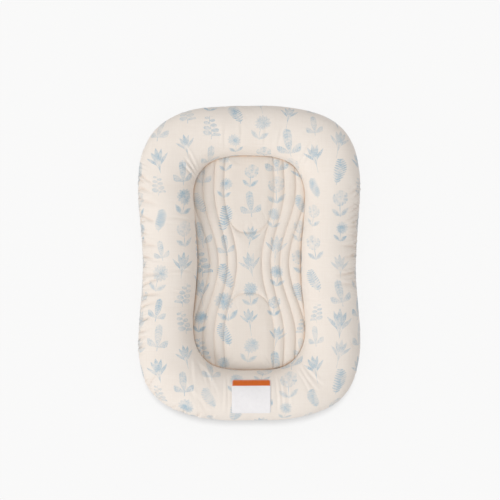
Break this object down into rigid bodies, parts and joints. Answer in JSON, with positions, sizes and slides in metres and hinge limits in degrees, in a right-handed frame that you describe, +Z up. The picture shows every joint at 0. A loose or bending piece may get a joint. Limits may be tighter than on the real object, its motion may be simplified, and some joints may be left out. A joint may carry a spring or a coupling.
{
  "type": "infant lounger",
  "caption": "Low padded nest: a stuffed ring with rounded corners and a drawn-in waist round a quilted pad, in a cotton cover that zips up underneath.",
  "frame": {"origin": "middle of the lounger's outline, on the floor that it lies on", "axes": "+Z up, +Y along the lounger towards the head end (the care patch is at the foot end), +X to the right when seen from the foot"},
  "size_m": [0.4814, 0.6804, 0.101],
  "materials": {
    "printed_cotton": "plain-weave cotton, soft blue plant print on cream",
    "plain_cotton": "plain-weave cotton, undyed cream",
    "calico": "unbleached calico",
    "fibre": "loose polyester fibre",
    "satin": "smooth white satin ribbon with an orange band",
    "zip_tape": "fine woven tape",
    "zip_teeth": "moulded cream plastic",
    "zip_metal": "cream enamel, satin"
  },
  "bodies": {
    "lounger": {"fibre_filling": "fibre", "casing_top": "calico", "casing_bottom": "calico", "sling_panel": "calico", "pad_backing": "plain_cotton", "pad_wadding": "fibre", "pad_face": "printed_cotton", "seam_binding": "plain_cotton", "cover_ring_top": "printed_cotton", "cover_underside": "plain_cotton", "care_patch": "satin", "zip_tape_left": "zip_tape", "zip_tape_right": "zip_tape", "zip_teeth_left": "zip_teeth", "zip_teeth_right": "zip_teeth", "zip_top_stop_left": "zip_metal", "zip_top_stop_right": "zip_metal", "zip_bottom_stop": "zip_metal"},
    "slider": {"zip_slider": "zip_metal"},
    "pull": {"zip_pull": "zip_metal"}
  },
  "joints": [
    {"name": "zip_slide", "type": "slide", "parent": "lounger", "child": "slider", "axis": [0, -1, 0], "range_m": [0, 0.302], "deforming": ["zip_teeth_left", "zip_teeth_right"]},
    {"name": "pull_hinge", "type": "hinge", "parent": "slider", "child": "pull", "pos_m": [0, 0.1512, 0.0122], "axis": [1, 0, 0], "range_deg": [-30, 144]}
  ]
}
